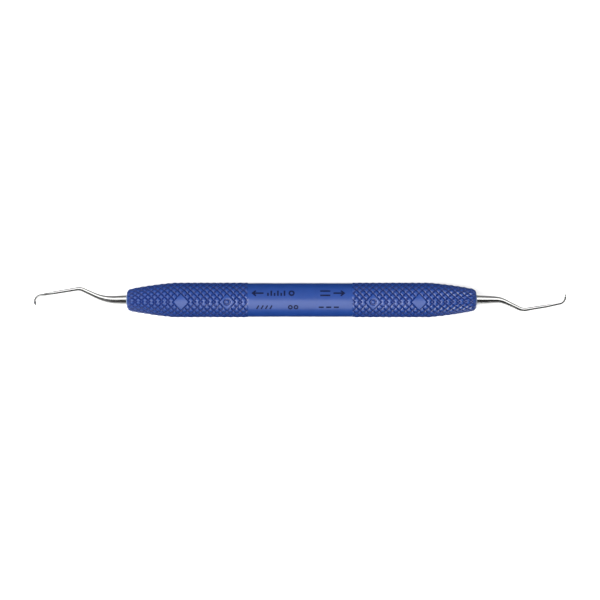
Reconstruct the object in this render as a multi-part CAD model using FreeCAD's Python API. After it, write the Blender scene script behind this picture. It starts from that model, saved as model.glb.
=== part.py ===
"""Double-ended dental hand scaler: a knurled resin grip on a steel core tube, with a steel tip in each end.

Millimetres. The grip's axis is X, with the origin at the middle of the grip. The tips bend in the XY plane,
and +Z is up when the instrument lies on a table. The tips bend to opposite sides.

Pieces of one end are made in the end's own frame: U runs outwards along the grip's axis from its end face,
V is the side of the shank's first bend, and W is up at the left end and down at the right one.
"""

import FreeCAD, Part
import math
import os

Vector = FreeCAD.Vector

# Grip: a smooth centre band between two zones of staggered diamond pads, which taper towards flat ends.
GRIP_HALF_LENGTH = 55.6
BAND_HALF_LENGTH = 16.5
BAND_RADIUS = 5.35
CREST_RADIUS = 5.55
GROOVE_DEPTH = 0.3
PAD_PITCH = 2.09
PADS_AROUND = 14
TAPER_LENGTH = 15.0
TAPER_END_RADIUS = 3.42
TAPER_BULGE = 0.0038
END_FACE_RADIUS = 2.2
END_ROUNDING = 1.3
END_ROUNDING_SHARES = (0.45, 0.12, 0.0)
SEWING_TOLERANCE = 0.001

# The lattice of grooves is its own mirror image at two seams along the grip. The front seam is a little off
# +Z, at an angle counted from +Y. Two smooth raised diamonds in each zone sit on the front seam, and two on
# the back seam. The band and the lattice sit a little off the middle of the grip.
PATTERN_SHIFT = -0.47
SEAM_ANGLE = 97.3
FIRST_DIAMOND = 23.2
PADS_BETWEEN_DIAMONDS = 7
BACK_DIAMOND_SHIFT = 1

# Core: a thin tube that stiffens the resin. A flanged socket in each end holds a tip's tang.
MOUTH_DEPTH = 1.5
MOUTH_RADIUS = 1.65
CORE_RADIUS = 2.5
CORE_WALL = 0.3
FLANGE_THICKNESS = 1.0
SOCKET_LENGTH = 16.0
SOCKET_BORE_RADIUS = 1.25
SOCKET_BORE_LENGTH = 13.5

# Tang: a rod with two flats. The bond fills the gap round it, and ends outside the mouth as a small fillet.
TANG_RADIUS = 1.15
TANG_ACROSS_FLATS = 1.9
BOND_GAP = 0.15
BOND_FILLET = 0.25

# Each tip is bent and ground by hand, so the two differ a little. The shank leaves on the axis, kicks out
# at its first bend, runs back from its apex, and hooks across the axis as the blade. Bends and apexes are
# places in U and V, and turns are in degrees.
COLLAR_LENGTH = 0.6
BACK_RUN_SLOPE = -0.167
LEFT_TIP = {
    "first_bend": (7.12, 0.0),
    "first_radius": 16.0,
    "apex": (14.95, 3.64),
    "apex_radius": 3.2,
    "hook_reach": 27.63,
    "hook_radius": 2.17,
    "hook_turn": 104.0,
    "toe_run": 0.2,
}
RIGHT_TIP = {
    "first_bend": (7.85, 0.0),
    "first_radius": 7.5,
    "apex": (14.73, 3.25),
    "apex_radius": 4.2,
    "hook_reach": 26.55,
    "hook_radius": 2.3,
    "hook_turn": 88.0,
    "toe_run": 0.7,
}

# Shank diameters at distances along the centre line from the grip's end face.
SHANK_TAPER = (
    (COLLAR_LENGTH, 2.95),
    (4.8, 2.5),
    (8.1, 1.9),
    (10.5, 1.58),
    (14.0, 1.42),
    (17.0, 1.18),
    (22.0, 1.1),
    (26.0, 1.0),
)

# Blade: a half-round back and a flat face, which looks inside the hook and is turned towards W. Widths and
# depths are at the blade's start and at its toe, and the toe's shares are what the rounding leaves of them.
FACE_TILT = 38.0
BLADE_BLEND = 4.5
BLADE_WIDTHS = (1.15, 0.66)
BLADE_DEPTHS = (0.6, 0.38)
FACE_CROWN = 0.03
TOE_ROUNDING = 0.3
TOE_WIDTH_SHARE = 0.2
TOE_DEPTH_SHARE = 0.4
TOE_SHARES = (1.0, 0.5, 0.15, 0.02)

# Largest step between the tip's cross-sections, along it in millimetres and round its bends in degrees.
SECTION_SPACING = 2.0
SECTION_TURN = 7.0


def between(share, low, high):
    """Value at a share of the way from one value to another."""
    return low + (high - low) * share


def smooth_step(share):
    """Share from 0 to 1 with a soft start and end."""
    share = min(max(share, 0), 1)
    return share * share * (3 - 2 * share)


def crest_radius(x):
    """Radius over the pad crests at a place along the grip, and of its rounded end past the last pad."""
    from_end = GRIP_HALF_LENGTH - abs(x)
    if from_end >= TAPER_LENGTH:
        return CREST_RADIUS
    bulge = TAPER_BULGE * from_end * (TAPER_LENGTH - from_end)
    taper = between(from_end / TAPER_LENGTH, TAPER_END_RADIUS, CREST_RADIUS) + bulge
    if from_end >= END_ROUNDING:
        return taper
    share = math.sqrt(1 - (1 - from_end / END_ROUNDING) ** 2)
    return between(share, END_FACE_RADIUS, taper)


def ring_of_points(x, radii):
    """Points round the grip at one place along it, one for each half pad, from just past the front seam."""
    points = []
    for row, radius in enumerate(radii):
        angle = math.radians(SEAM_ANGLE) + 2 * math.pi * (row + 0.5) / len(radii)
        points.append(Vector(x, radius * math.cos(angle), radius * math.sin(angle)))
    return points


def is_crossing(column, row):
    """Whether grooves cross here. Columns count half pads from the first raised diamond."""
    from_seam = min(row, 2 * PADS_AROUND - 1 - row)
    front = (0, 2 * PADS_BETWEEN_DIAMONDS)
    back = [middle + BACK_DIAMOND_SHIFT for middle in front]
    if from_seam == 0 and column in front:
        return False
    if from_seam == PADS_AROUND - 1 and column in back:
        return False
    return (column + from_seam) % 2 == 0


def pad_ring(column, side):
    """One ring of the knurl, in which pad crests and groove crossings alternate between the seams."""
    x = PATTERN_SHIFT + side * (FIRST_DIAMOND + column * PAD_PITCH / 2)
    radii = [crest_radius(x) - GROOVE_DEPTH * is_crossing(column, row) for row in range(2 * PADS_AROUND)]
    return ring_of_points(x, radii)


def half_skin_rings(side):
    """Rings of the grip's skin from the edge of the band to one end face, with the first ring's column."""
    knurl_end = GRIP_HALF_LENGTH - END_ROUNDING - side * PATTERN_SHIFT
    first = math.ceil(2 * (BAND_HALF_LENGTH - FIRST_DIAMOND) / PAD_PITCH)
    last = math.floor(2 * (knurl_end - FIRST_DIAMOND) / PAD_PITCH)
    band_edge = PATTERN_SHIFT + side * BAND_HALF_LENGTH
    rings = [ring_of_points(band_edge, [BAND_RADIUS] * 2 * PADS_AROUND)]
    rings += [pad_ring(column, side) for column in range(first, last + 1)]
    for share in END_ROUNDING_SHARES:
        x = side * (GRIP_HALF_LENGTH - share * END_ROUNDING)
        rings.append(ring_of_points(x, [crest_radius(x)] * 2 * PADS_AROUND))
    return rings, first - 1


def strip_facets(first, second, first_column, second_column):
    """Triangles between two neighbouring rings. They fold along the grooves and not across the pads."""
    count = 2 * PADS_AROUND
    facets = []
    for row in range(count):
        beside = (row + 1) % count
        a, b = first + row, first + beside
        c, d = second + row, second + beside
        a_to_d = is_crossing(first_column, row) + is_crossing(second_column, beside)
        b_to_c = is_crossing(first_column, beside) + is_crossing(second_column, row)
        if a_to_d == 2 or b_to_c == 1:
            facets += [(a, b, d), (a, d, c)]
        else:
            facets += [(a, b, c), (b, d, c)]
    return facets


def end_facets(ring, hub, outward):
    """Flat fan of triangles that closes the skin at one end."""
    count = 2 * PADS_AROUND
    facets = []
    for row in range(count):
        a, b = ring + row, ring + (row + 1) % count
        facets.append((hub, a, b) if outward > 0 else (hub, b, a))
    return facets


def grip_skin():
    """The grip's closed outer shape: diamond pads with creased grooves, as flat facets."""
    left, first_column = half_skin_rings(-1)
    right, first_column = half_skin_rings(1)
    left_columns = [first_column + place for place in range(len(left))]
    right_columns = [first_column + place for place in range(len(right))]
    columns = left_columns[::-1] + right_columns
    count = 2 * PADS_AROUND
    points = [point for ring in left[::-1] + right for point in ring]
    facets = []
    for place, (column, next_column) in enumerate(zip(columns, columns[1:])):
        facets += strip_facets(place * count, (place + 1) * count, column, next_column)
    last_ring = len(points) - count
    hub = len(points)
    points += [Vector(-GRIP_HALF_LENGTH, 0, 0), Vector(GRIP_HALF_LENGTH, 0, 0)]
    facets += end_facets(0, hub, -1) + end_facets(last_ring, hub + 1, 1)
    mesh = Part.Shape()
    mesh.makeShapeFromMesh((points, facets), SEWING_TOLERANCE)
    skin = Part.Solid(Part.Shell(mesh.Faces))
    if skin.Volume < 0:
        skin.reverse()
    return skin


def bar(start, end, radius):
    """Round bar along U between two places, which are negative inside the grip."""
    return Part.makeCylinder(radius, end - start, Vector(start, 0, 0), Vector(1, 0, 0))


def at_right(shape):
    """A piece of one end, put at the right end: its V side is towards -Y."""
    placed = shape.copy()
    placed.rotate(Vector(0, 0, 0), Vector(1, 0, 0), 180)
    placed.translate(Vector(GRIP_HALF_LENGTH, 0, 0))
    return placed


def at_left(shape):
    """The mirror-image piece at the left end: its V side is towards +Y."""
    placed = shape.mirror(Vector(0, 0, 0), Vector(1, 0, 0))
    placed.translate(Vector(-GRIP_HALF_LENGTH, 0, 0))
    return placed


def grip():
    """Resin moulded over the core, with a round mouth in each end face."""
    core_half = GRIP_HALF_LENGTH - MOUTH_DEPTH
    core_space = Part.makeCylinder(CORE_RADIUS, 2 * core_half, Vector(-core_half, 0, 0), Vector(1, 0, 0))
    mouth = bar(-MOUTH_DEPTH, 1, MOUTH_RADIUS)
    return grip_skin().cut(core_space).cut(at_right(mouth)).cut(at_left(mouth))


def core_tube():
    """Thin-walled tube between the flanges of the two sockets."""
    half = GRIP_HALF_LENGTH - MOUTH_DEPTH - FLANGE_THICKNESS
    outside = Part.makeCylinder(CORE_RADIUS, 2 * half, Vector(-half, 0, 0), Vector(1, 0, 0))
    inside = Part.makeCylinder(CORE_RADIUS - CORE_WALL, 2 * half, Vector(-half, 0, 0), Vector(1, 0, 0))
    return outside.cut(inside)


def tang_socket():
    """Turned bush in the end of the core tube: a flange, and a blind bore for the tang."""
    flange = bar(-MOUTH_DEPTH - FLANGE_THICKNESS, -MOUTH_DEPTH, CORE_RADIUS)
    plug = bar(-MOUTH_DEPTH - SOCKET_LENGTH, -MOUTH_DEPTH, CORE_RADIUS - CORE_WALL)
    bore = bar(-MOUTH_DEPTH - SOCKET_BORE_LENGTH, -MOUTH_DEPTH, SOCKET_BORE_RADIUS)
    return plug.fuse(flange).cut(bore)


def turned(direction, degrees):
    """A direction in the UV plane, turned about W."""
    turn = math.radians(degrees)
    u = direction.x * math.cos(turn) - direction.y * math.sin(turn)
    v = direction.x * math.sin(turn) + direction.y * math.cos(turn)
    return Vector(u, v, 0)


def centre_line(tip):
    """A tip's centre line from the end face to the toe: (length, turn in degrees) of each run and arc."""
    apex, reach = tip["apex"], tip["hook_reach"]
    hook_start = (reach, apex[1] + (reach - apex[0]) * BACK_RUN_SLOPE)
    corners = [Vector(u, v, 0) for u, v in ((0, 0), tip["first_bend"], apex, hook_start)]
    runs = [end - start for start, end in zip(corners, corners[1:])]
    headings = [math.degrees(math.atan2(run.y, run.x)) for run in runs]
    stretches = []
    used = 0
    for place, radius in enumerate((tip["first_radius"], tip["apex_radius"])):
        turn = headings[place + 1] - headings[place]
        tangent = radius * math.tan(math.radians(abs(turn)) / 2)
        stretches.append((runs[place].Length - used - tangent, 0))
        stretches.append((radius * math.radians(abs(turn)), turn))
        used = tangent
    stretches.append((runs[-1].Length - used, 0))
    stretches.append((tip["hook_radius"] * math.radians(tip["hook_turn"]), -tip["hook_turn"]))
    stretches.append((tip["toe_run"], 0))
    return stretches


def blade_start(stretches):
    """Distance at which the hook, and with it the blade, begins."""
    return sum(length for length, turn in stretches[:-2])


def place_on_centre_line(stretches, distance):
    """Point and heading at a distance along a centre line."""
    point = Vector(0, 0, 0)
    heading = Vector(1, 0, 0)
    for length, turn in stretches:
        part = min(distance, length)
        if turn == 0:
            point = point + heading * part
        else:
            swept = turn * part / length
            radius = length / math.radians(abs(turn))
            chord = 2 * radius * math.sin(math.radians(abs(swept)) / 2)
            point = point + turned(heading, swept / 2) * chord
            heading = turned(heading, swept)
        distance -= part
        if distance <= 0:
            break
    return point, heading


def shank_radius(distance):
    """Radius of the round shank at a distance along the centre line."""
    for (near, near_size), (far, far_size) in zip(SHANK_TAPER, SHANK_TAPER[1:]):
        if distance <= far:
            return between((distance - near) / (far - near), near_size, far_size) / 2
    return SHANK_TAPER[-1][1] / 2


def blade_size(distance, start, tip_length):
    """Half width of the blade's face and depth of its back, which shrink to the rounded toe."""
    share = max((distance - start) / (tip_length - start), 0)
    half_width = between(share, *BLADE_WIDTHS) / 2
    depth = between(share, *BLADE_DEPTHS)
    from_toe = min((tip_length - distance) / TOE_ROUNDING, 1)
    rounding = math.sqrt(1 - (1 - from_toe) ** 2)
    half_width *= between(rounding, TOE_WIDTH_SHARE, 1)
    depth *= between(rounding, TOE_DEPTH_SHARE, 1)
    return half_width, depth


def cross_section(stretches, distance):
    """Outline across the tip: a back arc and a face arc, which are two half circles on the round shank."""
    tip_length = sum(length for length, turn in stretches)
    start = blade_start(stretches)
    point, heading = place_on_centre_line(stretches, distance)
    tilt = math.radians(FACE_TILT)
    face_normal = turned(heading, -90) * math.cos(tilt) + Vector(0, 0, math.sin(tilt))
    side = heading.cross(face_normal)
    radius = shank_radius(distance)
    half_width, depth = blade_size(distance, start, tip_length)
    blend = smooth_step((distance - start + BLADE_BLEND) / BLADE_BLEND)
    half_width = between(blend, radius, half_width)
    back_height = between(blend, radius, depth / 2)
    face_height = between(blend, 0, depth / 2)
    crown = between(blend, radius, FACE_CROWN)
    edge_one = point + face_normal * face_height - side * half_width
    edge_two = point + face_normal * face_height + side * half_width
    back = Part.Arc(edge_one, point - face_normal * back_height, edge_two)
    face = Part.Arc(edge_two, point + face_normal * (face_height + crown), edge_one)
    return Part.Wire([back.toShape(), face.toShape()])


def section_places(stretches):
    """Distances along the tip at which it gets a cross-section."""
    places = [COLLAR_LENGTH]
    start = 0
    for length, turn in stretches:
        steps = max(math.ceil(abs(turn) / SECTION_TURN), math.ceil(length / SECTION_SPACING))
        places += [start + length * (step + 1) / steps for step in range(steps)]
        start += length
    before_toe = [place for place in places if place < start - TOE_ROUNDING]
    return before_toe + [start - share * TOE_ROUNDING for share in TOE_SHARES]


def shank_and_blade(tip):
    """The bent part of the tip outside the grip."""
    stretches = centre_line(tip)
    sections = [cross_section(stretches, place) for place in section_places(stretches)]
    return Part.makeLoft(sections, True, True)


def working_end(tip):
    """One steel tip: the tang in the socket, the collar in the mouth, the shank and the blade."""
    shoulder = -MOUTH_DEPTH + BOND_GAP
    collar = bar(shoulder, COLLAR_LENGTH, SHANK_TAPER[0][1] / 2)
    tang_end = -MOUTH_DEPTH - SOCKET_BORE_LENGTH + BOND_GAP
    rod = bar(tang_end, shoulder, TANG_RADIUS)
    slab = Part.makeBox(shoulder - tang_end, 2 * TANG_RADIUS, TANG_ACROSS_FLATS)
    slab.translate(Vector(tang_end, -TANG_RADIUS, -TANG_ACROSS_FLATS / 2))
    return collar.fuse(rod.common(slab)).fuse(shank_and_blade(tip))


def tang_bond(tip):
    """Cured adhesive: a sleeve round the tang, a ring round the collar in the mouth, and a fillet."""
    sleeve = bar(-MOUTH_DEPTH - SOCKET_BORE_LENGTH, -MOUTH_DEPTH, SOCKET_BORE_RADIUS)
    ring = bar(-MOUTH_DEPTH, 0, MOUTH_RADIUS)
    collar_radius = SHANK_TAPER[0][1] / 2
    fillet = Part.makeCone(MOUTH_RADIUS, collar_radius, BOND_FILLET, Vector(0, 0, 0), Vector(1, 0, 0))
    return sleeve.fuse(ring).fuse(fillet).cut(working_end(tip))


def pieces():
    """Every piece of the instrument by its node's name."""
    shapes = {"grip": grip(), "core_tube": core_tube()}
    for end, place, tip in (("left", at_left, LEFT_TIP), ("right", at_right, RIGHT_TIP)):
        shapes["tang_socket_" + end] = place(tang_socket())
        shapes["tang_bond_" + end] = place(tang_bond(tip))
        shapes["working_end_" + end] = place(working_end(tip))
    return shapes


os.makedirs("parts", exist_ok=True)
for name, shape in pieces().items():
    if not shape.isValid() or len(shape.Solids) != 1:
        raise ValueError(name + " is not one sound solid")
    shape.Solids[0].exportStep("parts/" + name + ".step")
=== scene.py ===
import bpy
import math
import numpy as np
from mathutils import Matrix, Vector


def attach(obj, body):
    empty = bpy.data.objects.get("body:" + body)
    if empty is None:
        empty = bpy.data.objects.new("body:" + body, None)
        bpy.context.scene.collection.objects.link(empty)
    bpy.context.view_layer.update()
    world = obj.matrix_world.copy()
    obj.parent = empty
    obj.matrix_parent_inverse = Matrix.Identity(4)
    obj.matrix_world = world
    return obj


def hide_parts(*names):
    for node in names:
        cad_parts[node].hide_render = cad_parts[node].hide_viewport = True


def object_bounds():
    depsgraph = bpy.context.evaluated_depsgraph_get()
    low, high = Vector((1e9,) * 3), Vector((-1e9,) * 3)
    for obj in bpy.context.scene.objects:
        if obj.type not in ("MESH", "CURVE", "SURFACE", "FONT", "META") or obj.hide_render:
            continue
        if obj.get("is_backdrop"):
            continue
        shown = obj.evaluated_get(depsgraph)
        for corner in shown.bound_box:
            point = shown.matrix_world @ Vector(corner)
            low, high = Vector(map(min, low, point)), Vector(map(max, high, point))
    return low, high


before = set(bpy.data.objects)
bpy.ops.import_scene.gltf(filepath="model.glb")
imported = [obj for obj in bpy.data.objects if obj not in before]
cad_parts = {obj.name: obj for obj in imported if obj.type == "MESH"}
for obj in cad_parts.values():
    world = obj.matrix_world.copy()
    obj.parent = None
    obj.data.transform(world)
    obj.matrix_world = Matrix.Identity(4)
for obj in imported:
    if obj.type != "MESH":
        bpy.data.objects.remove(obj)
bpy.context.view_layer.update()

# A double-ended dental hand scaler: a knurled blue resin grip with a polished steel tip in each end.
# Sizes are in millimetres and are scaled to metres as each mesh is made. The grip's axis is X and the
# tips bend in the XY plane. A tip is made in its own end's frame: U runs outwards from the end face, V is
# the side of the first bend, and W is up at the left end and down at the right one.
MM = 0.001

# Grip. Shares place the rings of its skin across half the band and across the band's edge.
GRIP_HALF_LENGTH = 55.6
BAND_HALF_LENGTH = 16.5
BAND_RADIUS = 5.35
BAND_EDGE = 0.35
BAND_SHARES = (0.25, 0.5, 0.75, 0.98, 1)
BAND_EDGE_SHARES = (0.33, 0.67)
CREST_RADIUS = 5.55
TAPER_LENGTH = 15.0
TAPER_END_RADIUS = 3.42
TAPER_BULGE = 0.0038
END_FACE_RADIUS = 2.2
END_ROUNDING = 1.3
END_ROUNDING_STEPS = 8
MOUTH_DEPTH = 1.5
MOUTH_RADIUS = 1.65
MOUTH_CHAMFER = 0.12
CORE_RADIUS = 2.5
GRIP_SHARP_ANGLE = 75

# Knurl: diamond pads between two families of grooves that mirror each other at a front and a back seam.
# It and the band sit a little off the middle of the grip. Seam-to-crossing, the back diamonds' shift and
# the diamonds' reach are in pads.
PATTERN_SHIFT = -0.47
SEAM_ANGLE = 97.3
PADS_AROUND = 14
PAD_ANGLE = 2 * math.pi / PADS_AROUND
PAD_PITCH = 2.09
FIRST_DIAMOND = 23.2
PADS_BETWEEN_DIAMONDS = 7
BACK_DIAMOND_SHIFT = 0.5
SEAM_TO_CROSSING = 0.25
DIAMOND_REACH = 1.25
GROOVE_DEPTH = 0.36
GROOVE_HALF_WIDTH = 0.32
DIAMOND_GROOVE_WIDTH = 0.26
PAD_CROWN = 0.14
PAD_FADE = 0.8
STEPS_PER_HALF_PAD = 6

# Round dimple in the middle of the first raised diamond.
DIMPLE_RADIUS = 0.85
DIMPLE_HALF_WIDTH = 0.46
DIMPLE_DEPTH = 0.36

# Tips. Each is bent by hand, so the two differ a little. Bends and apexes are places in U and V, and turns
# are in degrees. The blade's face looks inside the hook, and its tilt turns it towards W.
TANG_RADIUS = 1.15
TANG_ACROSS_FLATS = 1.9
TANG_LENGTH = 14.85
COLLAR_LENGTH = 0.6
SHOULDER = -1.35
BACK_RUN_SLOPE = -0.167
TIPS = {
    "left": {
        "first_bend": (7.12, 0.0),
        "first_radius": 16.0,
        "apex": (14.95, 3.64),
        "apex_radius": 3.2,
        "hook_reach": 27.63,
        "hook_radius": 2.17,
        "hook_turn": 104.0,
        "toe_run": 0.2,
    },
    "right": {
        "first_bend": (7.85, 0.0),
        "first_radius": 7.5,
        "apex": (14.73, 3.25),
        "apex_radius": 4.2,
        "hook_reach": 26.55,
        "hook_radius": 2.3,
        "hook_turn": 88.0,
        "toe_run": 0.7,
    },
}
SHANK_PLACES = (COLLAR_LENGTH, 4.8, 8.1, 10.5, 14.0, 17.0, 22.0, 26.0)
SHANK_DIAMETERS = (2.95, 2.5, 1.9, 1.58, 1.42, 1.18, 1.1, 1.0)
SHANK_SMOOTHING = 1.2
SMOOTHING_SAMPLES = 9
FACE_TILT = 38.0
BLADE_BLEND = 4.5
BLADE_WIDTHS = (1.15, 0.66)
BLADE_DEPTHS = (0.6, 0.38)
FACE_CROWN = 0.03
TOE_ROUNDING = 0.3
TOE_WIDTH_SHARE = 0.2
TOE_DEPTH_SHARE = 0.4
TOE_SHARES = (0.75, 0.5, 0.3, 0.15, 0.05, 0.01)
TIP_SPACING = 0.22
POINTS_PER_SIDE = 18
EDGE_SHARP_ANGLE = 40

# Printed marks on the band: thin ink strokes in two rows, which are centred at angles from +Z towards +Y.
# The upper row has arrows, ticks, a ring and bars, and the lower one has slashes, rings and dashes. Places
# are along the band and across it. The printing sits a little off the middle of the grip.
UPPER_ROW_ANGLE = 24.0
LOWER_ROW_ANGLE = -25.4
INK_HEIGHT = 0.012
INK_ROOT = 0.05
INK_STEP = 0.35
UPPER_STROKE = 0.5
LOWER_STROKE = 0.44
DASH_STROKE = 0.5
MITRE_LIMIT = 0.4
MARKS_SHIFT = -0.5
LEFT_ARROW = (-15.1, -11.6)
RIGHT_ARROW = (14.0, 10.6)
ARROW_HEAD = (1.1, 0.9)
ARROW_SHAFT_GAP = 0.5
TICKS = 6
FIRST_TICK = -10.2
TICK_STEP = 1.05
TICK_FOOT = -0.9
TICK_TOPS = (0.1, 0.9)
BARS = (6.4, 9.6)
BAR_ACROSS = 0.75
SLASHES = 4
FIRST_SLASH = -13.8
SLASH_STEP = 1.4
SLASH_LEAN = 0.7
SLASH_ACROSS = 0.62
DASHES = 3
FIRST_DASH = 5.9
DASH_STEP = 2.4
DASH_LENGTH = 1.6
UPPER_RINGS = ((-2.7, 0.72),)
LOWER_RINGS = ((-3.1, 0.55), (-1.3, 0.55))
RING_POINTS = 20

# Materials: the middle range of a noise, over which tones and values are spread, and the shares of a
# groove's depth between which painted shade darkens the resin's colour.
NOISE_LOW = 0.3
NOISE_HIGH = 0.7
GROOVE_SHADE_START = 0.15
GROOVE_SHADE_END = 0.9

# Camera and room. Clipping distances are in metres. The sky fades from its ground to its full radiance
# between this far below and above the horizon, as a share of its radius.
VIEW_WIDTH = 191.1
CAMERA_HEIGHT = 1500.0
CAMERA_SHIFT = -0.53
SENSOR_WIDTH = 36.0
CLIP_START = 0.05
CLIP_END = 100
FLOOR_SIZE = 12000.0
SKY_RADIANCE = 0.5
GROUND_RADIANCE = 0.04
HORIZON_FADE = 0.1

# Softboxes: position, size, power, and whether reflections show them.
LAMPS = {
    "key_softbox": ((-350, -1250, 2150), (3000, 3200), 100, True),
    "side_softbox": ((-1250, -350, 1900), (1300, 1100), 75, True),
    "fill_softbox": ((300, 1300, 2000), (3000, 2400), 80, False),
}

# Reflector cards round each tip: kind, radiance, and the (Y, Z) of the edges that each strip passes
# through. They reach from near to far along the grip's axis.
CARDS = (
    ("shade", 0.3, ((3, -5.4), (60, -5.4), (52, 30))),
    ("white", 2.4, ((52, 30), (14, 58))),
    ("black", 0.0, ((14, 58), (-54, 27))),
    ("bounce", 1.5, ((-60, -5.4), (-3, -5.4))),
)
CARD_NEAR = 50.0
CARD_FAR = 120.0


def smooth_step(share):
    """Share from 0 to 1 with a soft start and end."""
    share = np.clip(share, 0, 1)
    return share * share * (3 - 2 * share)


def add_mesh(name, points, faces, material, sharp_angle=None):
    """A smooth-shaded mesh object from points in millimetres."""
    mesh = bpy.data.meshes.new(name)
    mesh.from_pydata([tuple(p) for p in np.asarray(points) * MM], [], faces)
    mesh.polygons.foreach_set("use_smooth", [True] * len(mesh.polygons))
    if sharp_angle is not None:
        mesh.set_sharp_from_angle(angle=math.radians(sharp_angle))
    mesh.materials.append(material)
    piece = bpy.data.objects.new(name, mesh)
    bpy.context.scene.collection.objects.link(piece)
    return piece


# ---- Grip ----

def crest_radius(x):
    """Radius over the pad crests at places along the grip."""
    from_end = GRIP_HALF_LENGTH - np.abs(x)
    share = from_end / TAPER_LENGTH
    taper = TAPER_END_RADIUS + (CREST_RADIUS - TAPER_END_RADIUS) * share
    taper = taper + TAPER_BULGE * from_end * (TAPER_LENGTH - from_end)
    radius = np.where(from_end >= TAPER_LENGTH, CREST_RADIUS, taper)
    rounding = np.sqrt(np.clip(1 - (1 - from_end / END_ROUNDING) ** 2, 0, 1))
    rounded = END_FACE_RADIUS + (radius - END_FACE_RADIUS) * rounding
    return np.where(from_end < END_ROUNDING, rounded, radius)


def lattice_distance(pads_along, pads_round):
    """Distances in pads: to the nearest groove's middle, and into a raised diamond from its outline."""
    falling = pads_along + pads_round - SEAM_TO_CROSSING
    rising = pads_along - pads_round + SEAM_TO_CROSSING
    lattice = np.minimum(np.abs(falling - np.round(falling)), np.abs(rising - np.round(rising)))
    inside_diamond = np.zeros_like(lattice)
    from_back = PADS_AROUND / 2 - pads_round
    for middle in (0, PADS_BETWEEN_DIAMONDS):
        front_reach = np.abs(pads_along - middle) + pads_round
        back_reach = np.abs(pads_along - middle - BACK_DIAMOND_SHIFT) + from_back
        inside_diamond = np.maximum(inside_diamond, DIAMOND_REACH - np.minimum(front_reach, back_reach))
    return lattice, inside_diamond


def dimple_depth(x, round_seam, radius):
    """Depth of the round dimple: a ring groove about a low dome."""
    away = np.hypot(np.abs(x - PATTERN_SHIFT) - FIRST_DIAMOND, radius * round_seam)
    return DIMPLE_DEPTH * (1 - smooth_step(np.abs(away - DIMPLE_RADIUS) / DIMPLE_HALF_WIDTH))


def knurl_depth(x, angle):
    """Depth below the crests at places along and round the knurled zones."""
    radius = crest_radius(x)
    turned = (angle - math.radians(SEAM_ANGLE) + math.pi) % (2 * math.pi) - math.pi
    round_seam = np.abs(turned)
    pads_along = (np.abs(x - PATTERN_SHIFT) - FIRST_DIAMOND) / PAD_PITCH
    pads_round = round_seam / PAD_ANGLE
    groove_spacing = 1 / np.sqrt(1 / PAD_PITCH ** 2 + 1 / (radius * PAD_ANGLE) ** 2)
    lattice, inside_diamond = lattice_distance(pads_along, pads_round)
    in_groove = 1 - smooth_step(lattice * groove_spacing / GROOVE_HALF_WIDTH)
    pad_depth = (GROOVE_DEPTH - PAD_CROWN) * in_groove + PAD_CROWN * (1 - 2 * lattice)
    in_outline = 1 - smooth_step(inside_diamond * groove_spacing / DIAMOND_GROOVE_WIDTH)
    depth = np.where(inside_diamond > 0, GROOVE_DEPTH * in_outline, pad_depth)
    depth = depth + dimple_depth(x, round_seam, radius)
    from_end = GRIP_HALF_LENGTH - np.abs(x)
    return depth * smooth_step(from_end / PAD_FADE)


def half_places(side):
    """Places of the outer skin's rings on one half, from the middle outwards."""
    step = PAD_PITCH / 2 / STEPS_PER_HALF_PAD
    knurl_end = GRIP_HALF_LENGTH - END_ROUNDING - side * PATTERN_SHIFT
    first = math.ceil((BAND_HALF_LENGTH + BAND_EDGE - FIRST_DIAMOND) / step)
    last = math.floor((knurl_end - FIRST_DIAMOND) / step)
    pattern = [BAND_HALF_LENGTH * share for share in BAND_SHARES]
    pattern += [BAND_HALF_LENGTH + BAND_EDGE * share for share in BAND_EDGE_SHARES]
    pattern += [FIRST_DIAMOND + place * step for place in range(first, last + 1)]
    turns = [math.pi / 2 * place / END_ROUNDING_STEPS for place in range(1, END_ROUNDING_STEPS + 1)]
    end = [GRIP_HALF_LENGTH - END_ROUNDING * (1 - math.sin(turn)) for turn in turns]
    return [PATTERN_SHIFT + side * place for place in pattern] + [side * place for place in end]


def skin_places():
    """Places of the outer skin's rings, from the left end face to the right one."""
    return np.array(half_places(-1)[::-1] + [PATTERN_SHIFT] + half_places(1))


def skin_radii(places, angles):
    """Radius of the outer skin at each ring and each angle, and its depth below the crests."""
    x = places[:, None] + 0 * angles[None, :]
    depth = knurl_depth(x, angles[None, :] + 0 * x)
    knurled = crest_radius(x) - depth
    share = smooth_step((np.abs(x - PATTERN_SHIFT) - BAND_HALF_LENGTH) / BAND_EDGE)
    radii = BAND_RADIUS + (knurled - BAND_RADIUS) * share
    return radii, depth * share


def inner_profile():
    """Rings of the end faces, mouths and core's space, from the right end face round to the left one."""
    rim = MOUTH_RADIUS + MOUTH_CHAMFER
    core_end = GRIP_HALF_LENGTH - MOUTH_DEPTH
    right = [
        (GRIP_HALF_LENGTH, rim),
        (GRIP_HALF_LENGTH - MOUTH_CHAMFER, MOUTH_RADIUS),
        (core_end, MOUTH_RADIUS),
        (core_end, CORE_RADIUS),
    ]
    return right + [(-x, radius) for x, radius in reversed(right)]


def folded_faces(points, rings, count):
    """Triangles of a grid that closes both ways. Each cell folds along its more level diagonal."""
    level = np.hypot(points[..., 1], points[..., 2])
    along = np.roll(level, -1, 0)
    a_to_d = np.abs(level - np.roll(along, -1, 1))
    b_to_c = np.abs(np.roll(level, -1, 1) - along)
    ring = np.arange(rings)[:, None] * count
    next_ring = (np.arange(rings)[:, None] + 1) % rings * count
    row = np.arange(count)[None, :]
    beside = (row + 1) % count
    a, b, c, d = ring + row, ring + beside, next_ring + row, next_ring + beside
    folds_a_to_d = (a_to_d <= b_to_c)[..., None]
    first = np.where(folds_a_to_d, np.stack([a, b, d], -1), np.stack([a, b, c], -1))
    second = np.where(folds_a_to_d, np.stack([a, d, c], -1), np.stack([b, d, c], -1))
    return np.concatenate([first.reshape(-1, 3), second.reshape(-1, 3)])


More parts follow.
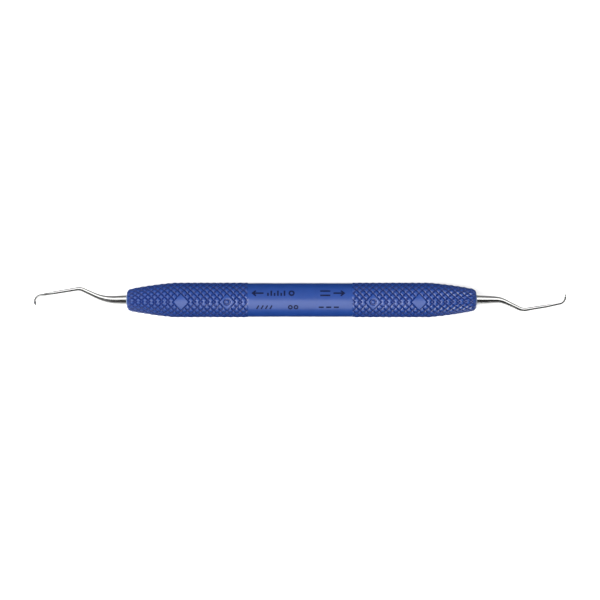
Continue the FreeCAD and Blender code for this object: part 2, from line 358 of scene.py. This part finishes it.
def make_grip(material):
    """The moulded grip: knurled skin, end faces, mouths and the space for the core, as one closed mesh."""
    count = 2 * PADS_AROUND * STEPS_PER_HALF_PAD
    angles = math.radians(SEAM_ANGLE) + 2 * math.pi * np.arange(count) / count
    places = skin_places()
    radii, depth = skin_radii(places, angles)
    inner = np.array(inner_profile())
    x = np.concatenate([places, inner[:, 0]])
    radii = np.concatenate([radii, np.repeat(inner[:, 1:], count, 1)])
    depth = np.concatenate([depth, np.zeros((len(inner), count))])
    points = np.stack([x[:, None] + 0 * radii, radii * np.cos(angles), radii * np.sin(angles)], -1)
    faces = folded_faces(points, len(x), count)
    grip = add_mesh("moulded_grip", points.reshape(-1, 3), faces.tolist(), material, GRIP_SHARP_ANGLE)
    # Share of each point's groove depth, which the resin uses to paint shade into the grooves.
    groove = grip.data.attributes.new("groove", "FLOAT", "POINT")
    groove.data.foreach_set("value", (depth / GROOVE_DEPTH).astype(np.float32).ravel())
    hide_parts("grip")
    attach(grip, "root")


# ---- Tips ----

def turned(direction, degrees):
    """A direction in the UV plane, turned about W."""
    turn = math.radians(degrees)
    u = direction.x * math.cos(turn) - direction.y * math.sin(turn)
    v = direction.x * math.sin(turn) + direction.y * math.cos(turn)
    return Vector((u, v, 0))


def centre_line(tip):
    """A tip's centre line from the end face to the toe: (length, turn in degrees) of each run and arc."""
    apex, reach = tip["apex"], tip["hook_reach"]
    hook_start = (reach, apex[1] + (reach - apex[0]) * BACK_RUN_SLOPE)
    corners = [Vector((u, v, 0)) for u, v in ((0, 0), tip["first_bend"], apex, hook_start)]
    runs = [end - start for start, end in zip(corners, corners[1:])]
    headings = [math.degrees(math.atan2(run.y, run.x)) for run in runs]
    stretches = []
    used = 0
    for place, radius in enumerate((tip["first_radius"], tip["apex_radius"])):
        turn = headings[place + 1] - headings[place]
        tangent = radius * math.tan(math.radians(abs(turn)) / 2)
        stretches.append((runs[place].length - used - tangent, 0))
        stretches.append((radius * math.radians(abs(turn)), turn))
        used = tangent
    stretches.append((runs[-1].length - used, 0))
    stretches.append((tip["hook_radius"] * math.radians(tip["hook_turn"]), -tip["hook_turn"]))
    stretches.append((tip["toe_run"], 0))
    return stretches


def place_on_centre_line(stretches, distance):
    """Point and heading at a distance along a centre line."""
    point = Vector((0, 0, 0))
    heading = Vector((1, 0, 0))
    for length, turn in stretches:
        part = min(distance, length)
        if turn == 0:
            point = point + heading * part
        else:
            swept = turn * part / length
            radius = length / math.radians(abs(turn))
            chord = 2 * radius * math.sin(math.radians(abs(swept)) / 2)
            point = point + turned(heading, swept / 2) * chord
            heading = turned(heading, swept)
        distance -= part
        if distance <= 0:
            break
    return point, heading


def shank_radius(distance):
    """Radius of the round shank, whose taper changes softly along its length."""
    nearby = np.linspace(distance - SHANK_SMOOTHING, distance + SHANK_SMOOTHING, SMOOTHING_SAMPLES)
    return float(np.interp(nearby, SHANK_PLACES, SHANK_DIAMETERS).mean()) / 2


def arc_points(half_width, rise, count):
    """Points of a circular arc over a chord, as (across, above the chord), without its last point."""
    radius = (half_width ** 2 + rise ** 2) / (2 * rise)
    half_angle = 2 * math.atan2(rise, half_width)
    points = []
    for place in range(count):
        angle = half_angle * (1 - 2 * place / count)
        points.append((-radius * math.sin(angle), radius * math.cos(angle) - radius + rise))
    return points


def tip_section(stretches, distance):
    """Outline across the tip: the half-round back, then the face, which is flat on the blade."""
    tip_length = sum(length for length, turn in stretches)
    blade_start = sum(length for length, turn in stretches[:-2])
    point, heading = place_on_centre_line(stretches, distance)
    tilt = math.radians(FACE_TILT)
    face_normal = turned(heading, -90) * math.cos(tilt) + Vector((0, 0, math.sin(tilt)))
    side = heading.cross(face_normal)
    share = max((distance - blade_start) / (tip_length - blade_start), 0)
    rounding = math.sqrt(1 - (1 - min((tip_length - distance) / TOE_ROUNDING, 1)) ** 2)
    blade_half = np.interp(share, (0, 1), BLADE_WIDTHS) / 2
    blade_half *= TOE_WIDTH_SHARE + (1 - TOE_WIDTH_SHARE) * rounding
    blade_depth = np.interp(share, (0, 1), BLADE_DEPTHS)
    blade_depth *= TOE_DEPTH_SHARE + (1 - TOE_DEPTH_SHARE) * rounding
    blend = float(smooth_step((distance - blade_start + BLADE_BLEND) / BLADE_BLEND))
    radius = shank_radius(distance)
    half_width = radius + (blade_half - radius) * blend
    back_height = radius + (blade_depth / 2 - radius) * blend
    face_height = blade_depth / 2 * blend
    crown = radius + (FACE_CROWN - radius) * blend
    back = arc_points(half_width, back_height + face_height, POINTS_PER_SIDE)
    face = arc_points(half_width, crown, POINTS_PER_SIDE)
    outline = [point + side * across + face_normal * (face_height - above) for across, above in back]
    outline += [point - side * across + face_normal * (face_height + above) for across, above in face]
    return outline


def tang_sections(collar):
    """Outlines of the tang's rod with its two flats, and of the collar's shoulder."""
    radius = SHANK_DIAMETERS[0] / 2
    rod = []
    for point in collar:
        v, w = point.y * TANG_RADIUS / radius, point.z * TANG_RADIUS / radius
        w = min(max(w, -TANG_ACROSS_FLATS / 2), TANG_ACROSS_FLATS / 2)
        rod.append((v, w))
    places = (SHOULDER + MOUTH_DEPTH - TANG_LENGTH, SHOULDER)
    sections = [[Vector((u, v, w)) for v, w in rod] for u in places]
    sections.append([Vector((SHOULDER, point.y, point.z)) for point in collar])
    return sections


def tip_sections(side):
    """All outlines of a tip in its end's frame, from the tang's end to the toe."""
    stretches = centre_line(TIPS[side])
    tip_length = sum(length for length, turn in stretches)
    steps = math.ceil((tip_length - TOE_ROUNDING - COLLAR_LENGTH) / TIP_SPACING)
    places = list(np.linspace(COLLAR_LENGTH, tip_length - TOE_ROUNDING, steps + 1))
    places += [tip_length - TOE_ROUNDING * share for share in TOE_SHARES]
    outside = [tip_section(stretches, float(place)) for place in places]
    return tang_sections(outside[0]) + outside


def sweep_faces(rings, count):
    """Quads between neighbouring outlines, and the two end caps."""
    faces = []
    for ring in range(rings - 1):
        for row in range(count):
            beside = (row + 1) % count
            a, b = ring * count + row, ring * count + beside
            faces.append((a, b, b + count, a + count))
    faces.append(tuple(reversed(range(count))))
    faces.append(tuple(range((rings - 1) * count, rings * count)))
    return faces


def make_tip(side, material):
    """One steel tip, put at its end of the grip."""
    sections = tip_sections(side)
    faces = sweep_faces(len(sections), len(sections[0]))
    points = [(p.x + GRIP_HALF_LENGTH, -p.y, -p.z) for section in sections for p in section]
    if side == "left":
        points = [(-x, -y, -z) for x, y, z in points]
        faces = [tuple(reversed(face)) for face in faces]
    tip = add_mesh("steel_tip_" + side, points, faces, material, EDGE_SHARP_ANGLE)
    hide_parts("working_end_" + side)
    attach(tip, "root")


# ---- Printed marks ----

def on_band(x, across, row_angle, height):
    """Point at a place along the band, this far across it from a row's middle and this high over it."""
    angle = math.radians(row_angle) + across / BAND_RADIUS
    radius = BAND_RADIUS + height
    return (x + MARKS_SHIFT, radius * math.sin(angle), radius * math.cos(angle))


def divided(path, closed):
    """A path with extra points, so that a stroke follows the round band."""
    ends = path[1:] + path[:1] if closed else path[1:]
    points = []
    for (x1, y1), (x2, y2) in zip(path, ends):
        steps = max(1, math.ceil(math.hypot(x2 - x1, y2 - y1) / INK_STEP))
        points += [(x1 + (x2 - x1) * s / steps, y1 + (y2 - y1) * s / steps) for s in range(steps)]
    return points if closed else points + [path[-1]]


def path_offsets(path, closed, half_width):
    """Mitred sideways offset at each point of a path."""
    offsets = []
    for place, (x, y) in enumerate(path):
        before = path[place - 1] if place or closed else None
        after = path[(place + 1) % len(path)] if place + 1 < len(path) or closed else None
        normals = []
        for (x1, y1), (x2, y2) in ((before or (x, y), (x, y)), ((x, y), after or (x, y))):
            length = math.hypot(x2 - x1, y2 - y1)
            if length:
                normals.append(Vector(((y1 - y2) / length, (x2 - x1) / length)))
        mean = sum(normals, Vector((0, 0))).normalized()
        offsets.append(mean * (half_width / max(mean.dot(normals[0]), MITRE_LIMIT)))
    return offsets


def stroke(path, width, row_angle, closed=False):
    """Points and faces of one inked stroke along a path of (along, across) places."""
    path = divided(path, closed)
    points = []
    for (x, y), offset in zip(path, path_offsets(path, closed, width / 2)):
        for sign, height in ((1, INK_HEIGHT), (1, -INK_ROOT), (-1, -INK_ROOT), (-1, INK_HEIGHT)):
            points.append(on_band(x + sign * offset.x, y + sign * offset.y, row_angle, height))
    count = len(path)
    faces = []
    for place in range(count if closed else count - 1):
        ahead = (place + 1) % count
        for corner in range(4):
            beside = (corner + 1) % 4
            faces.append((4 * place + corner, 4 * place + beside, 4 * ahead + beside, 4 * ahead + corner))
    if not closed:
        last = 4 * (count - 1)
        faces += [(3, 2, 1, 0), (last, last + 1, last + 2, last + 3)]
    return points, faces


def circle(x, radius):
    """Closed round path."""
    turns = [2 * math.pi * place / RING_POINTS for place in range(RING_POINTS)]
    return [(x + radius * math.cos(turn), radius * math.sin(turn)) for turn in turns]


def arrow(tip, tail):
    """Paths of an arrow's head and of its shaft."""
    back = math.copysign(1, tail - tip)
    wing = tip + back * ARROW_HEAD[0]
    head = [(wing, ARROW_HEAD[1]), (tip, 0.0), (wing, -ARROW_HEAD[1])]
    shaft = [(tip + back * ARROW_SHAFT_GAP, 0.0), (tail, 0.0)]
    return [head, shaft]


def upper_row():
    """Open paths of the upper row: an arrow towards each end, a scale of ticks, and two bars."""
    paths = arrow(*LEFT_ARROW) + arrow(*RIGHT_ARROW)
    for place in range(TICKS):
        x = FIRST_TICK + TICK_STEP * place
        paths.append([(x, TICK_FOOT), (x, TICK_TOPS[place % 2])])
    for across in (BAR_ACROSS, -BAR_ACROSS):
        paths.append([(x, across) for x in BARS])
    return paths


def slashes():
    """Paths of the leaning strokes in the lower row."""
    starts = [FIRST_SLASH + SLASH_STEP * place for place in range(SLASHES)]
    return [[(x, -SLASH_ACROSS), (x + SLASH_LEAN, SLASH_ACROSS)] for x in starts]


def dashes():
    """Paths of the level strokes in the lower row."""
    starts = [FIRST_DASH + DASH_STEP * place for place in range(DASHES)]
    return [[(x, 0.0), (x + DASH_LENGTH, 0.0)] for x in starts]


def mark_strokes():
    """Points and faces of every stroke of the generic marks."""
    upper, lower = UPPER_ROW_ANGLE, LOWER_ROW_ANGLE
    strokes = [stroke(path, UPPER_STROKE, upper) for path in upper_row()]
    strokes += [stroke(circle(x, radius), UPPER_STROKE, upper, True) for x, radius in UPPER_RINGS]
    strokes += [stroke(path, LOWER_STROKE, lower) for path in slashes()]
    strokes += [stroke(circle(x, radius), LOWER_STROKE, lower, True) for x, radius in LOWER_RINGS]
    strokes += [stroke(path, DASH_STROKE, lower) for path in dashes()]
    return strokes


def make_marks(material):
    """All the strokes as one piece."""
    points, faces = [], []
    for stroke_points, stroke_faces in mark_strokes():
        start = len(points)
        points += stroke_points
        faces += [tuple(start + corner for corner in face) for face in stroke_faces]
    marks = add_mesh("ink_marks", points, faces, material, EDGE_SHARP_ANGLE)
    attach(marks, "root")


# ---- Materials ----

def new_material(name):
    """An empty node material, its nodes, links and Principled shader."""
    material = bpy.data.materials.new(name)
    material.use_nodes = True
    nodes, links = material.node_tree.nodes, material.node_tree.links
    return material, nodes, links, nodes["Principled BSDF"]


def noise(nodes, links, scale, detail=3.0, stretch=(1, 1, 1)):
    """Noise in the piece's own coordinates, with this many features a metre."""
    place = nodes.new("ShaderNodeTexCoord")
    mapping = nodes.new("ShaderNodeMapping")
    mapping.inputs["Scale"].default_value = stretch
    texture = nodes.new("ShaderNodeTexNoise")
    texture.inputs["Scale"].default_value = scale
    texture.inputs["Detail"].default_value = detail
    links.new(place.outputs["Object"], mapping.inputs["Vector"])
    links.new(mapping.outputs["Vector"], texture.inputs["Vector"])
    return texture.outputs["Fac"]


def ramp(nodes, links, factor, stops):
    """Colour ramp between two (place, colour) stops."""
    node = nodes.new("ShaderNodeValToRGB")
    for element, (place, colour) in zip(node.color_ramp.elements, stops):
        element.position = place
        element.color = (*colour, 1)
    links.new(factor, node.inputs["Fac"])
    return node.outputs["Color"]


def mottled(nodes, links, scale, low, high):
    """Colour that drifts between two tones, with this many patches a metre."""
    return ramp(nodes, links, noise(nodes, links, scale), ((NOISE_LOW, low), (NOISE_HIGH, high)))


def spread(nodes, links, factor, low, high):
    """A noise's middle range spread between two values."""
    node = nodes.new("ShaderNodeMapRange")
    node.inputs["From Min"].default_value = NOISE_LOW
    node.inputs["From Max"].default_value = NOISE_HIGH
    node.inputs["To Min"].default_value = low
    node.inputs["To Max"].default_value = high
    links.new(factor, node.inputs["Value"])
    return node.outputs["Result"]


def bump(nodes, links, height, distance, shader):
    """Fine relief of this depth in metres."""
    node = nodes.new("ShaderNodeBump")
    node.inputs["Strength"].default_value = 1.0
    node.inputs["Distance"].default_value = distance
    links.new(height, node.inputs["Height"])
    links.new(node.outputs["Normal"], shader.inputs["Normal"])


def grip_resin():
    """Satin royal-blue resin: darkened with painted shade in the grooves, faintly mottled, with a fine
    spark-eroded grain.
    """
    material, nodes, links, shader = new_material("grip_resin")
    groove = nodes.new("ShaderNodeAttribute")
    groove.attribute_name = "groove"
    # Painted shade: the colour darkens from the crests towards the groove floors as the grooves deepen.
    crest = (0.0015, 0.0200, 0.115)
    groove_shade = (0.0006, 0.006, 0.060)
    stops = ((GROOVE_SHADE_START, crest), (GROOVE_SHADE_END, groove_shade))
    base = ramp(nodes, links, groove.outputs["Fac"], stops)
    mottling = mottled(nodes, links, 320, (0.9, 0.9, 0.9), (1, 1, 1))
    mix = nodes.new("ShaderNodeMix")
    mix.data_type = "RGBA"
    mix.blend_type = "MULTIPLY"
    mix.inputs["Factor"].default_value = 1.0
    links.new(base, mix.inputs["A"])
    links.new(mottling, mix.inputs["B"])
    links.new(mix.outputs["Result"], shader.inputs["Base Color"])
    links.new(spread(nodes, links, noise(nodes, links, 900), 0.28, 0.36), shader.inputs["Roughness"])
    shader.inputs["IOR"].default_value = 1.45
    bump(nodes, links, noise(nodes, links, 9000), 0.00001, shader)
    return material


def polished_steel():
    """Stainless steel with fine grinding lines along the tips."""
    material, nodes, links, shader = new_material("tip_steel")
    shader.inputs["Metallic"].default_value = 1.0
    tone = mottled(nodes, links, 500, (0.52, 0.52, 0.51), (0.60, 0.60, 0.59))
    links.new(tone, shader.inputs["Base Color"])
    lines = noise(nodes, links, 4000, 4.0, (0.03, 1, 1))
    links.new(spread(nodes, links, lines, 0.08, 0.15), shader.inputs["Roughness"])
    bump(nodes, links, lines, 0.000004, shader)
    return material


def core_steel():
    """Dull turned steel of the core and the sockets, with faint lathe rings."""
    material, nodes, links, shader = new_material("core_steel")
    shader.inputs["Metallic"].default_value = 1.0
    tone = mottled(nodes, links, 300, (0.46, 0.46, 0.47), (0.56, 0.56, 0.57))
    links.new(tone, shader.inputs["Base Color"])
    rings = noise(nodes, links, 3000, 2.0, (1, 0.05, 0.05))
    links.new(spread(nodes, links, rings, 0.3, 0.45), shader.inputs["Roughness"])
    bump(nodes, links, rings, 0.000008, shader)
    return material


def bond_resin():
    """Cured grey-blue adhesive, slightly uneven."""
    material, nodes, links, shader = new_material("bond_resin")
    tone = mottled(nodes, links, 700, (0.10, 0.13, 0.20), (0.16, 0.19, 0.26))
    links.new(tone, shader.inputs["Base Color"])
    links.new(spread(nodes, links, noise(nodes, links, 1500), 0.3, 0.5), shader.inputs["Roughness"])
    bump(nodes, links, noise(nodes, links, 2500), 0.00002, shader)
    return material


def ink():
    """Dark navy pad-printing ink, a little uneven in its cover."""
    material, nodes, links, shader = new_material("ink")
    tone = mottled(nodes, links, 1800, (0.0004, 0.0015, 0.012), (0.001, 0.003, 0.020))
    links.new(tone, shader.inputs["Base Color"])
    links.new(spread(nodes, links, noise(nodes, links, 2500), 0.5, 0.65), shader.inputs["Roughness"])
    shader.inputs["Specular IOR Level"].default_value = 0.1
    return material


def studio_floor():
    """Matt white paper."""
    material, nodes, links, shader = new_material("studio_floor")
    tone = mottled(nodes, links, 3, (0.61, 0.61, 0.61), (0.63, 0.63, 0.63))
    links.new(tone, shader.inputs["Base Color"])
    shader.inputs["Roughness"].default_value = 0.9
    shader.inputs["Specular IOR Level"].default_value = 0.1
    return material


def repaint(node, material):
    """Gives a CAD node that keeps its own shape a better material."""
    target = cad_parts[node]
    if not target.material_slots:
        target.data.materials.append(material)
    for place in target.material_slots:
        place.material = material


# ---- Room ----

def make_sky():
    """Pale surroundings that darken below the horizon."""
    world = bpy.data.worlds.new("sky")
    bpy.context.scene.world = world
    world.use_nodes = True
    nodes, links = world.node_tree.nodes, world.node_tree.links
    place = nodes.new("ShaderNodeTexCoord")
    split = nodes.new("ShaderNodeSeparateXYZ")
    fade = nodes.new("ShaderNodeMapRange")
    fade.inputs["From Min"].default_value = -HORIZON_FADE
    fade.inputs["From Max"].default_value = HORIZON_FADE
    fade.inputs["To Min"].default_value = GROUND_RADIANCE
    fade.inputs["To Max"].default_value = SKY_RADIANCE
    links.new(place.outputs["Generated"], split.inputs["Vector"])
    links.new(split.outputs["Z"], fade.inputs["Value"])
    links.new(fade.outputs["Result"], nodes["Background"].inputs["Strength"])
    nodes["Background"].inputs["Color"].default_value = (1, 1, 1, 1)


def softbox(name, position, size, power, mirrored):
    """Rectangular area light that faces the instrument, and may stay out of reflections."""
    light = bpy.data.lights.new(name, "AREA")
    light.shape = "RECTANGLE"
    light.size = size[0] * MM
    light.size_y = size[1] * MM
    light.energy = power
    lamp = bpy.data.objects.new(name, light)
    lamp.location = Vector(position) * MM
    lamp.rotation_euler = (-lamp.location).to_track_quat("-Z", "Y").to_euler()
    lamp.visible_glossy = mirrored
    bpy.context.scene.collection.objects.link(lamp)


def card_material(name, radiance):
    """A card's even glow, or black."""
    material = bpy.data.materials.new(name)
    material.use_nodes = True
    nodes, links = material.node_tree.nodes, material.node_tree.links
    nodes.remove(nodes["Principled BSDF"])
    glow = nodes.new("ShaderNodeEmission")
    glow.inputs["Strength"].default_value = radiance
    links.new(glow.outputs["Emission"], nodes["Material Output"].inputs["Surface"])
    return material


def make_cards():
    """Reflector cards round each tip, which are seen only in reflections."""
    for kind, radiance, edges in CARDS:
        material = card_material(kind + "_card", radiance)
        for side, sign in (("left", -1), ("right", 1)):
            points = [(sign * x, y, z) for y, z in edges for x in (CARD_NEAR, CARD_FAR)]
            starts = [2 * strip for strip in range(len(edges) - 1)]
            faces = [(start, start + 1, start + 3, start + 2) for start in starts]
            card = add_mesh(kind + "_card_" + side, points, faces, material)
            card.visible_camera = False
            card.visible_diffuse = False
            card.visible_shadow = False
            card.visible_transmission = False
            card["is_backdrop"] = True


def make_floor(level):
    """Large pale floor under the instrument."""
    half = FLOOR_SIZE / 2
    corners = [(-half, -half, level), (half, -half, level), (half, half, level), (-half, half, level)]
    floor = add_mesh("studio_floor", corners, [(0, 1, 2, 3)], studio_floor())
    floor.visible_glossy = False
    floor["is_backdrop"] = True


def make_camera():
    """Long-lens camera straight above the instrument."""
    camera = bpy.data.cameras.new("camera")
    camera.sensor_width = SENSOR_WIDTH
    camera.lens = SENSOR_WIDTH * CAMERA_HEIGHT / VIEW_WIDTH
    camera.clip_start = CLIP_START
    camera.clip_end = CLIP_END
    lens = bpy.data.objects.new("camera", camera)
    lens.location = (CAMERA_SHIFT * MM, 0, CAMERA_HEIGHT * MM)
    bpy.context.scene.collection.objects.link(lens)
    bpy.context.scene.camera = lens


steel = polished_steel()
make_grip(grip_resin())
make_tip("right", steel)
make_tip("left", steel)
make_marks(ink())
dull_steel = core_steel()
adhesive = bond_resin()
repaint("core_tube", dull_steel)
for end in ("left", "right"):
    repaint("tang_socket_" + end, dull_steel)
    repaint("tang_bond_" + end, adhesive)

make_camera()
make_sky()
make_floor(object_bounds()[0].z / MM)
for name, lamp in LAMPS.items():
    softbox(name, *lamp)
make_cards()
bpy.context.scene.view_settings.view_transform = "Standard"
